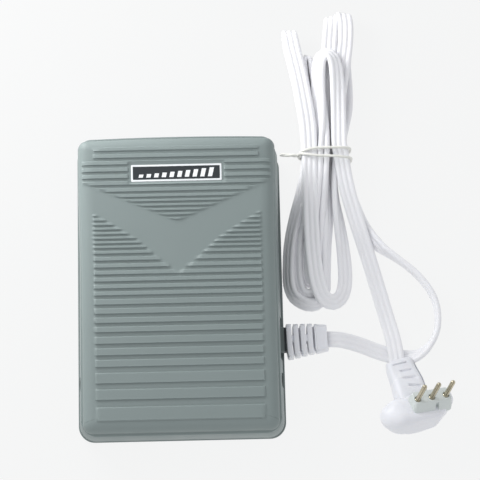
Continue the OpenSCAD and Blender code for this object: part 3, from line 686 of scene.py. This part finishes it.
def build_cover():
    """One closed skin: the inside of the top, down the inside of the wall, up the skirt, over the crown."""
    top, faces, edge, rows_y, heel_x, toe_x = top_grid()

    def loop(inset, depth, lift, r):
        return cover_loop(rows_y, heel_x, toe_x, inset, depth, lift, r)

    loops = []
    for inset, depth, up, r in cover_profile():
        pts, out = loop(inset, depth, up, r)
        if depth is not None and depth < 3.4:
            h = relief(pts[:, 0], pts[:, 1])
            share = np.clip(1 - (inset - CROWN_IN) / CROWN_ROUND, 0, 1)
            a = acos(share) if inset < CROWN_IN + CROWN_ROUND else pi / 2
            n = np.array([0, -sin(SLOPE), cos(SLOPE)]) * sin(a) + out * cos(a)
            pts = pts + n * h[:, None] * smoothstep((3.4 - depth) / 1.2)
        loops.append(pts)
    inner = [(WALL, LEDGE_DEPTH + 1.5, 0, 5.8), (WALL + 0.2, LEDGE_DEPTH + 0.5, 0, 5.6),
             (5.4, LEDGE_DEPTH + 0.4, 0, 2.6), (5.4, PLATE_T, 0, 2.6)]
    loops = [loop(*row)[0] for row in inner][::-1] + loops
    ring = len(edge)
    base = [len(top) + ring * k for k in range(len(loops))]
    k = np.arange(ring)
    k2 = (k + 1) % ring
    for b0, b1 in zip(base[:-1], base[1:]):
        faces += np.stack([b0 + k, b0 + k2, b1 + k2, b1 + k], -1).tolist()
    for a, b in zip(k.tolist(), k2.tolist()):
        f = [base[-1] + a, base[-1] + b, edge[b], edge[a]]
        faces.append(f if edge[a] != edge[b] else f[:3])
    faces.append([base[0] + n for n in range(ring)][::-1])
    return np.vstack([top] + loops) * MM, faces


cover_v, cover_f = build_cover()
cover = new_object("treadle", cover_v, cover_f)
bm = bmesh.new()
bm.from_mesh(cover.data)
bmesh.ops.recalc_face_normals(bm, faces=bm.faces)
bm.to_mesh(cover.data)
bm.free()

BORE_R, LUG_R, LUG_IN = 3.6, 6.0, 46.4
LUG_OUT = 51.5 - SIDE_DRAFT * HINGE_Z - 0.9
HOOK_X, HOOK_HALF, HOOK_LOW = 25.0, 4.0, 21.5
BOSS_LOW = 34.5
OUTLET_NOTCH = (45, 60, -35, -14.4, 0, 20)


def hinge_rods(near, far, r):
    """A rod about the hinge's axis on each side, from near to far of the middle."""
    rods = bmesh.new()
    for s in (-1, 1):
        lo, hi = sorted((s * near, s * far))
        rod_mesh(rods, (lo, HINGE_Y, HINGE_Z), (hi, HINGE_Y, HINGE_Z), r, 48)
    return rods


boolean(cover, hinge_rods(45.0, 53.0, BORE_R))
# the slots that the pin comes up through, and the gap for the strain relief
cuts = bmesh.new()
for s in (-1, 1):
    lo, hi = sorted((s * LUG_OUT, s * 60.0))
    box_mesh(cuts, lo, hi, HINGE_Y - BORE_R, HINGE_Y + BORE_R, 0, HINGE_Z)
box_mesh(cuts, *OUTLET_NOTCH)
boolean(cover, cuts)
# the hooks' noses, then their stems with the springs' and the plunger's bosses
adds = bmesh.new()
for x in (-HOOK_X, HOOK_X):
    box_mesh(adds, x - HOOK_HALF, x + HOOK_HALF, 64.5, 68, HOOK_LOW, HOOK_LOW + 2)
boolean(cover, adds, "UNION")
adds = bmesh.new()
for x in (-HOOK_X, HOOK_X):
    box_mesh(adds, x - HOOK_HALF, x + HOOK_HALF, 66.3, 68, HOOK_LOW, 44.2)
for x, y, top, r in ((-SPRING_X, SPRING_Y, 39.8, 6.4), (SPRING_X, SPRING_Y, 39.8, 6.4), (0, PLUNGER_Y, 37.3, 6)):
    rod_mesh(adds, (x, y, BOSS_LOW), (x, y, top), r)
boolean(cover, adds, "UNION")
boolean(cover, hinge_rods(LUG_IN, LUG_OUT, LUG_R), "UNION")
boolean(cover, hinge_rods(45.0, 53.0, BORE_R))
cover.data.shade_smooth()
sharpen(cover, 32)
stands_for(cover, "tread", "treadle_plastic", "tread_cover")
cover.data.materials.clear()
cover.data.materials.append(MATERIALS["treadle_plastic"])


# -------------------------------------------------- the label
def round_rect(x0, x1, y0, y1, r, n=6):
    """A rectangle's outline with rounded corners, anticlockwise."""
    out = []
    for cx, cy, a0 in ((x1 - r, y1 - r, 0), (x0 + r, y1 - r, 90), (x0 + r, y0 + r, 180), (x1 - r, y0 + r, 270)):
        for k in range(n + 1):
            a = radians(a0 + 90 * k / n)
            out.append((cx + r * cos(a), cy + r * sin(a)))
    return out


def label_prism(bm, outline, low, high, index, bevel):
    """A straight prism on the label, from low to high over its face, with its upper edge bevelled."""
    outline = np.array(outline, float)
    inwards = unit(outline.mean(axis=0) - outline)
    rings = []
    for w, shrink in ((low, 0), (high - bevel, 0), (high, bevel)):
        rings.append([bm.verts.new(tuple(on_top(x, LABEL_V + y, LABEL_PROUD + w) * MM))
                      for x, y in outline + inwards * shrink])
    close_rings(bm, rings, index)


# a white plate, a dark panel inside its rim, and ten slanted bars that rise like a speed scale
LABEL_RIM, BARS, BAR_PITCH, BAR_W, BAR_LOW, SLANT = 0.9, 10, 3.75, 2.1, -2.2, 0.24
bm = bmesh.new()
hw, hh = LABEL_W / 2, LABEL_H / 2
label_prism(bm, round_rect(-hw, hw, -hh, hh, 0.5), -0.85, -0.02, 0, 0.12)
hw, hh = LABEL_W / 2 - LABEL_RIM, LABEL_H / 2 - LABEL_RIM
label_prism(bm, round_rect(-hw, hw, -hh, hh, 0.2), -0.5, 0.02, 1, 0.02)
for k in range(BARS):
    x = (k - (BARS - 1) / 2) * BAR_PITCH
    high = BAR_LOW + 1.5 + 2.9 * (k / (BARS - 1)) ** 1.2
    bar = [(x - BAR_W / 2 + SLANT * BAR_LOW, BAR_LOW), (x + BAR_W / 2 + SLANT * BAR_LOW, BAR_LOW),
           (x + BAR_W / 2 + SLANT * high, high), (x - BAR_W / 2 + SLANT * high, high)]
    label_prism(bm, bar, -0.1, 0.07, 0, 0.03)
label = bm_object("power_label", bm, MATERIALS["label_white"], smooth=False)
label.data.materials.append(MATERIALS["label"])
stands_for(label, "tread", "label", "label_plate")


# -------------------------------------------------- the strain relief
def loft(sections):
    """Closed skin over sections that all have the same number of points."""
    m, n = len(sections), len(sections[0])
    verts = np.array(sections, float).reshape(-1, 3)
    i, j = np.meshgrid(np.arange(m - 1), np.arange(n), indexing="ij")
    a, b = i * n + j, i * n + (j + 1) % n
    faces = np.stack([a, b, b + n, a + n], -1).reshape(-1, 4).tolist()
    faces += [list(range(n))[::-1], list(range((m - 1) * n, m * n))]
    return verts * MM, faces


OUTLET_Y, OUTLET_Z = -24.6, 8.8
NECK_END, RING_X, RING_L, RING_PITCH, RELIEF_END = 51.5, 52.4, 2.55, 3.5, 72.7
THIN = 0.01  # what is left of a side between two corner radii


def relief_section(x, y0, y1, z0, z1, r):
    """A section of the sleeve, which bends a little sideways; towards the heel its rings lean outwards."""
    r = min(r, (y1 - y0) / 2 - THIN, (z1 - z0) / 2 - THIN)
    bend = 0.055 * max(0, x - 52) - 0.6
    lean = (1.2 + 0.06 * (x - 52)) * (x > 52.2)
    return [(x + lean * (max(0, -1.5 - y) / 7.2) ** 2, y + OUTLET_Y + bend, z + OUTLET_Z)
            for y, z in round_rect(y0, y1, z0, z1, r, 8)]


rows = []


def stretch(x0, x1, y0, y1, z0, z1, r, bevel=0.28):
    """One stretch of the sleeve with a rounded edge at both ends."""
    for x, s in ((x0, bevel), (x0 + bevel * 0.3, bevel * 0.3), (x0 + bevel, 0), (x1 - bevel, 0),
                 (x1 - bevel * 0.3, bevel * 0.3), (x1, bevel)):
        rows.append(relief_section(x, y0 + s, y1 - s, z0 + s, z1 - s, r))


stretch(41.95, 44.0, -7.4, 8.6, -4.2, 5.4, 1.5)
stretch(44.0, NECK_END, -5.6, 6.8, -3.6, 3.6, 1.2, 0.02)
stretch(NECK_END, RING_X, -5.5, 6.7, -3.5, 3.5, 1.2, 0.02)
for i in range(4):
    x = RING_X + RING_PITCH * i
    stretch(x, x + RING_L, -8.7 + 0.5 * i, 7.9 - 0.14 * i, -8.0 + 0.7 * i, 6.5 - 0.35 * i, 2.2)
    if i % 2:
        stretch(x + RING_L, x + RING_PITCH, -6.2, 6.2, -2.2, 1.6, 0.8, 0.02)
    else:
        stretch(x + RING_L, x + RING_PITCH, -1.4, 2.2, -5.2, 5.0, 0.8, 0.02)
# the end block, its last loops rounded one by one, and the mouth that the cord comes out of
block = RING_X + 4 * RING_PITCH
stretch(block, block + 0.8, -7.0, 7.2, -5.5, 5.1, 2.0, 0.2)
stretch(block + 0.85, RELIEF_END, -6.9, 7.1, -5.4, 5.0, 2.0)
rows[-6:] = [relief_section(x, y0, y1, -5.4, z1, 2.0) for x, y0, y1, z1 in
             ((block + 0.85, -6.9, 7.1, 5.1), (block + 2, -6.8, 6.9, 5.0), (block + 3.5, -6.6, 6.7, 4.9),
              (RELIEF_END - 0.35, -6.2, 6.4, 4.8), (RELIEF_END - 0.1, -6.1, 6.3, 4.65), (RELIEF_END, -5.8, 6.0, 4.4))]
rows.append(relief_section(RELIEF_END, -4.0, 4.2, -1.65, 1.65, 1.2))
rows.append(relief_section(RELIEF_END - 1.2, -4.0, 4.2, -1.65, 1.65, 1.2))
relief_v, relief_f = loft(rows)
sleeve = new_object("relief_sleeve", relief_v, relief_f, MATERIALS["plug_pvc"])
sharpen(sleeve, 40)
# the neck sits in the tray's collar, in the pedal's own colour, and the stretch before the first ring is painted dark
# grey as painted shadow
sleeve.data.materials.append(MATERIALS["tray_plastic"])
# painted shadow for the gap before the first ring
sleeve.data.materials.append(MATERIALS["painted_shadow_gap"])
for face in sleeve.data.polygons:
    if face.center.x < NECK_END * MM:
        face.material_index = 1
    elif face.center.x < (RING_X - 0.01) * MM:
        face.material_index = 2
stands_for(sleeve, "base", "plug_pvc", "strain_relief")


# -------------------------------------------------- the plug
PLUG_AT, PLUG_TURN = np.array([114.0, -63.8, 8.6]), (-23.0, 19.8, 10.2)
turn_x, turn_y, turn_z = (Matrix.Rotation(radians(a), 3, axis) for a, axis in zip(PLUG_TURN, "XYZ"))
PLUG_AXES = np.array(turn_z @ turn_y @ turn_x)


def plug_place(x, y, z):
    """A place in the plug's own frame, whose z is the pins' direction, in millimetres of the row frame."""
    return PLUG_AT + PLUG_AXES @ np.array([x, y, z], float)


def head_section(x, y0, y1, z0, z1, r):
    """A section of the plug's head across its own x."""
    r = min(r, (y1 - y0) / 2 - THIN, (z1 - z0) / 2 - THIN)
    return [plug_place(x, y, z) for y, z in round_rect(y0, y1, z0, z1, r, 9)]


def blend_rows(table, xs):
    """The table's other columns, read off at each x."""
    table = np.array(table, float)
    return [[np.interp(x, table[:, 0], table[:, c]) for c in range(1, table.shape[1])] for x in xs]


# the head: a dome at its far end, then sections x, y0, y1, z0, z1, corner radius
rows = []
DOME_X, DOME_R = -7.5, 10.6
for k in range(1, 19):
    a = pi / 2 * k / 18
    x, s = DOME_X - DOME_R * cos(a), sin(a)
    soft = s ** 0.9
    rows.append(head_section(x, 0.2 - 9.0 * soft, 0.2 + 6.9 * soft, 2.6 - 7.4 * soft, 2.6 + 8.2 * soft,
                             8.5 - 3.2 * s))
BODY = [(DOME_X, -8.8, 7.1, -4.8, 10.8, 5.3), (-4, -8.6, 7.2, -5.0, 11.0, 3.6), (1, -8.4, 7.2, -4.2, 11.1, 2.4),
        (8.6, -8.2, 7.1, -1.6, 11.1, 2.0), (9.8, -7.9, 7.1, -1.1, 11.1, 2.0), (11, -7.2, 7.0, -0.7, 11.1, 2.0),
        (17.6, -2.6, 6.6, 0.2, 10.8, 1.8), (18.8, -1.4, 6.4, 0.4, 10.6, 1.8), (19.5, -0.4, 6.0, 0.8, 10.2, 1.8),
        (19.9, 0.6, 5.2, 1.6, 9.4, 1.6)]
xs = np.concatenate([np.linspace(DOME_X + 0.6, 8.6, 18), np.linspace(9, 17.6, 12),
                     [18.2, 18.8, 19.2, 19.5, 19.75, 19.9]])
for x, (y0, y1, z0, z1, r) in zip(xs, blend_rows(BODY, xs)):
    rows.append(head_section(x, y0, y1, z0, z1, r))
head_v, head_f = loft(rows)
plug = new_object("plug_head", head_v, head_f, MATERIALS["plug_pvc"])
# the pin carrier: its outline at the foot blends into its outline at the top, by height and share
foot, crest = round_rect(-4.9, 16.6, -5.3, 5.0, 2.2, 8), round_rect(-4.1, 15.8, -2.6, 4.3, 1.6, 8)
rows = []
for w, mix in ((9.6, -0.12), (10.6, 0.0), (11.4, 0.06), (14.6, 0.84), (15.2, 0.96), (15.45, 1.06), (15.55, 1.2)):
    rows.append([plug_place(a[0] * (1 - mix) + b[0] * mix, a[1] * (1 - mix) + b[1] * mix, w)
                 for a, b in zip(foot, crest)])
insert_v, insert_f = loft(rows)
insert = new_object("plug_face", insert_v, insert_f, MATERIALS["insert_pvc"])
PIN_XS, PIN_R, PIN_TOP, PIN_NOSE = (-2.3, 5.5, 13.3), 1.2, 27.5, 1.5
SLIT_HALF, SLIT_TURN = 0.15, -0.6
key = bmesh.new()
box_mesh(key, 6.8, 8.6, -6.5, -2.9, 10.8, 16.5, plug_place)
boolean(insert, key)
wells = bmesh.new()
for x in PIN_XS:
    rod_mesh(wells, plug_place(x, 0, 14.7), plug_place(x, 0, 17), 1.75, 32)
boolean(insert, wells)

# each pin is turned from a profile of height and radius, with a collar at its foot and a rounded nose
profile = [(9.0, PIN_R), (14.8, PIN_R), (15.0, 1.38), (15.5, 1.38), (15.7, PIN_R), (PIN_TOP - PIN_NOSE, PIN_R)]
profile += [(PIN_TOP + PIN_NOSE * (sin(a) - 1), PIN_R * cos(a) ** 0.75) for a in (0.3, 0.6, 0.9, 1.15, 1.35)]
profile += [(PIN_TOP - 0.01, 0.12)]
pins = bmesh.new()
for x in PIN_XS:
    close_rings(pins, [[pins.verts.new(tuple(plug_place(x + a, b, z) * MM)) for a, b in circle(r, 28)]
                       for z, r in profile])
pin_set = bm_object("plug_pin_set", pins, MATERIALS["pin_metal"])
slits = bmesh.new()
slit_cos, slit_sin = cos(SLIT_TURN), sin(SLIT_TURN)
for pin_x in PIN_XS:
    box_mesh(slits, -SLIT_HALF, SLIT_HALF, -2, -0.15, 16.6, 29,
             lambda x, y, z: plug_place(pin_x + slit_cos * x - slit_sin * y, slit_sin * x + slit_cos * y, z))
boolean(pin_set, slits)
pin_set.data.shade_smooth()
sharpen(pin_set, 35)
insert.data.shade_smooth()
sharpen(insert, 30)
sharpen(plug, 50)

# the boot: sections along its middle line, x, y, z, half width, half height, turning from the cord's lie
# to the head's
BOOT_STEP, CORD_LIE = 0.3, 0.14
BOOT = np.array([(108.3, -35.6, 4.9, 6.3, 3.4), (108.6, -36.7, 4.9, 6.7, 3.8), (109.2, -38.6, 5.1, 7.1, 4.2),
                 (110.6, -43.0, 6.3, 7.5, 4.6), (112.2, -47.8, 8.2, 7.9, 5.0), (113.1, -52.4, 10.0, 8.0, 5.2),
                 (113.9, -57.2, 11.4, 7.8, 5.0)])
middle, boot_l = spline(BOOT, BOOT_STEP)
share = np.linspace(0, 1, len(middle))[:, None]
w_axis = unit((1 - share) * np.array([cos(CORD_LIE), sin(CORD_LIE), 0]) + share * PLUG_AXES[:, 0])
along = unit(np.gradient(middle[:, :3], axis=0))
w_axis = unit(w_axis - along * np.sum(w_axis * along, axis=1, keepdims=True))
h_axis = np.cross(along, w_axis)
# each groove along the boot: its place, and where it starts and ends across the top
GROOVES = [(2.6, -0.58, 0.48), (7.4, -0.3, 0.6), (12.2, -0.36, 0.62), (16.6, -0.2, 0.7)]
GROOVE_DEPTH, GROOVE_HALF, GROOVE_FADE, GROOVE_SLANT = 1.0, 0.7, 0.8, 0.1


def boot_section(s, half_w, half_h):
    """The boot's outline at s along it: a rounded box with its right shoulder lowered and its grooves cut."""
    sec = []
    for a, b in round_rect(-half_w, half_w, -half_h, half_h, 2.4, 6):
        if b > half_h * 0.55 and a > half_w * 0.5:
            b -= (a - half_w * 0.5) * 0.5 * smoothstep(s / 6)
        sec.append(np.array([a, b]))
    # the two long sides, above and below, take more points for the grooves
    dense = []
    for j, (a, b) in enumerate(zip(sec, sec[1:] + sec[:1])):
        parts = 14 if j in (6, 20) else 1
        dense += [a + (b - a) * q / parts for q in range(parts)]
    out = []
    for a, b in dense:
        if b > 0:
            for at, g0, g1 in GROOVES:
                reach = smoothstep((a - half_w * g0) / GROOVE_FADE) * smoothstep((half_w * g1 - a) / GROOVE_FADE)
                b -= GROOVE_DEPTH * reach * max(0.0, 1 - ((s - at - GROOVE_SLANT * a) / GROOVE_HALF) ** 2)
        out.append((a, b))
    return out


rows = []
for k, (p, w, h) in enumerate(zip(middle, w_axis, h_axis)):
    at = boot_l * k / (len(middle) - 1)
    rows.append([p[:3] + a * w + b * h for a, b in boot_section(at, p[3], p[4])])
# a small rounding at the end that the cord goes into
ends = np.array(rows[0])
mid = ends.mean(axis=0)
rows.insert(0, (ends - mid) * 0.9 + mid + along[0] * -0.25)
boot_v, boot_f = loft(rows)
boot = new_object("plug_boot", boot_v, boot_f, MATERIALS["plug_pvc"])
sharpen(boot, 40)
stands_for(plug, "base", "plug_pvc", "plug_body")
stands_for(boot, "base", "plug_pvc", "plug_body")
stands_for(insert, "base", "plug_pvc", "plug_insert")
stands_for(pin_set, "base", "pin_metal", "plug_pins")


# -------------------------------------------------- the wire tie round the hank
TIE_Y, WIRE_R = 70.5, 0.7


def tube(name, path, radius, material):
    """A round wire along path, with no twist of its own."""
    pts, _ = spline(path, 0.6)
    t = unit(np.gradient(pts, axis=0))
    frame_w = np.zeros_like(pts)
    w = unit(np.cross(t[0], [0.3, 0.5, 0.81]))
    for k in range(len(pts)):
        w = unit(w - t[k] * np.dot(w, t[k]))
        frame_w[k] = w
    v, f = swept(pts * MM, frame_w, np.array(circle(radius, 12)) * MM)
    return new_object(name, v, f, material)


def loop_round(y_at, grow, start, end, n=26):
    """Points of a turn round the waist, from one angle to another."""
    out = []
    for k in range(n + 1):
        a = radians(start + (end - start) * k / n)
        c, s = cos(a), sin(a)
        x = 75 + (12.6 + grow) * copysign(abs(c) ** 0.55, c)
        z = 8.0 + (7.3 + grow) * copysign(abs(s) ** 0.6, s)
        out.append((x, y_at(k / n), z))
    return out


# both turns start and end together at the left; one bows towards the hank's top and one towards its foot
turn_1 = loop_round(lambda t: TIE_Y + 0.3 + 1.9 * smoothstep(min(t, 1 - t) / 0.25), 0.35, 176, -184)
turn_1.insert(0, (63.2, TIE_Y + 0.4, 9.0))
turn_2 = loop_round(lambda t: TIE_Y - 2.9 * smoothstep(min(t, 1 - t) / 0.35), 0.75, 172, -172)
wires = []
for name, turn, phase in (("tie_wire_a", turn_1, 0.0), ("tie_wire_b", turn_2, pi)):
    twist = []
    for k in range(17):
        x = 61.2 - 0.56 * k
        a = phase + 0.3 * k
        apart = 0.28 * min(1, k / 2)
        twist.append((x, TIE_Y + 0.4 + 0.07 * k + apart * cos(a), 7.0 - 0.11 * k + apart * sin(a)))
    wires.append(tube(name, turn[:-1] + twist, WIRE_R, MATERIALS["white_plastic"]))
stands_for(wires[0], "base", "white_plastic", "cord_tie")
stands_for(wires[1], "base", "white_plastic")


# -------------------------------------------------- springs
def coil(name, x, y, low, high, wire, turns, node):
    """A compression spring: closed end coils at its foot and top, and open turns between."""
    rise = [0, 2.1 * wire, high - low - 4.1 * wire, high - low - 2 * wire]
    u = turns * np.arange(turns * 24 + 1) / (turns * 24)
    out = np.stack([np.cos(2 * pi * u), np.sin(2 * pi * u), 0 * u], -1)
    lead = np.interp(u, [0, 0.9, turns - 0.9, turns], rise)
    pts = np.array([x, y, low + wire]) + SPRING_R * out + lead[:, None] * np.array([0, 0, 1])
    v, f = swept(pts * MM, out, np.array(circle(wire, 10)) * MM)
    spring = new_object(name, v, f, MATERIALS["steel"])
    stands_for(spring, "base", "steel", node)
    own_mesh(spring)


for side, x in (("left", -SPRING_X), ("right", SPRING_X)):
    coil("tread_spring_" + side, x, SPRING_Y, SPRING_LOW, 34.5, 0.6, 8, "return_spring_" + side)
coil("plunger_coil", 0, PLUNGER_Y, 19, 29, 0.4, 5, "plunger_spring")


# -------------------------------------------------- floor and light
def make_stage():
    """A pale floor that glows a little, so that it stays as even as the photo's background."""
    s = Shader("floor_paper", (0.04, 0.04, 0.04), 0.9, specular=0.0)
    s.tint(s.ramp(s.noise(3, 2), 0.3, 0.7, 0, 0.05), (0.036, 0.036, 0.036))
    s.shader.inputs["Emission Color"].default_value = (0.925, 0.93, 0.93, 1)
    s.shader.inputs["Emission Strength"].default_value = 0.94
    half = 4.0
    floor = new_object("floor", [(-half, -half, 0), (half, -half, 0), (half, half, 0), (-half, half, 0)],
                       [(0, 1, 2, 3)], s.done())


def area_light(name, at, size, power):
    """A round lamp that faces the pedal."""
    data = bpy.data.lights.new(name, "AREA")
    data.shape, data.size, data.energy = "DISK", size, power
    o = bpy.data.objects.new(name, data)
    o.location = at
    o.rotation_euler = (-Vector(at)).to_track_quat("-Z", "Y").to_euler()
    bpy.context.scene.collection.objects.link(o)


make_stage()
world = bpy.data.worlds.new("studio")
world.use_nodes = True
sky = world.node_tree.nodes["Background"]
sky.inputs["Color"].default_value = (0.97, 0.98, 1.0, 1)
sky.inputs["Strength"].default_value = 0.74
bpy.context.scene.world = world
area_light("key", (-0.2, 0.22, 0.17), 0.25, 1.15)
area_light("fill", (-0.9, -0.2, 1.5), 1.0, 2.5)
bpy.context.scene.view_settings.view_transform = "Standard"
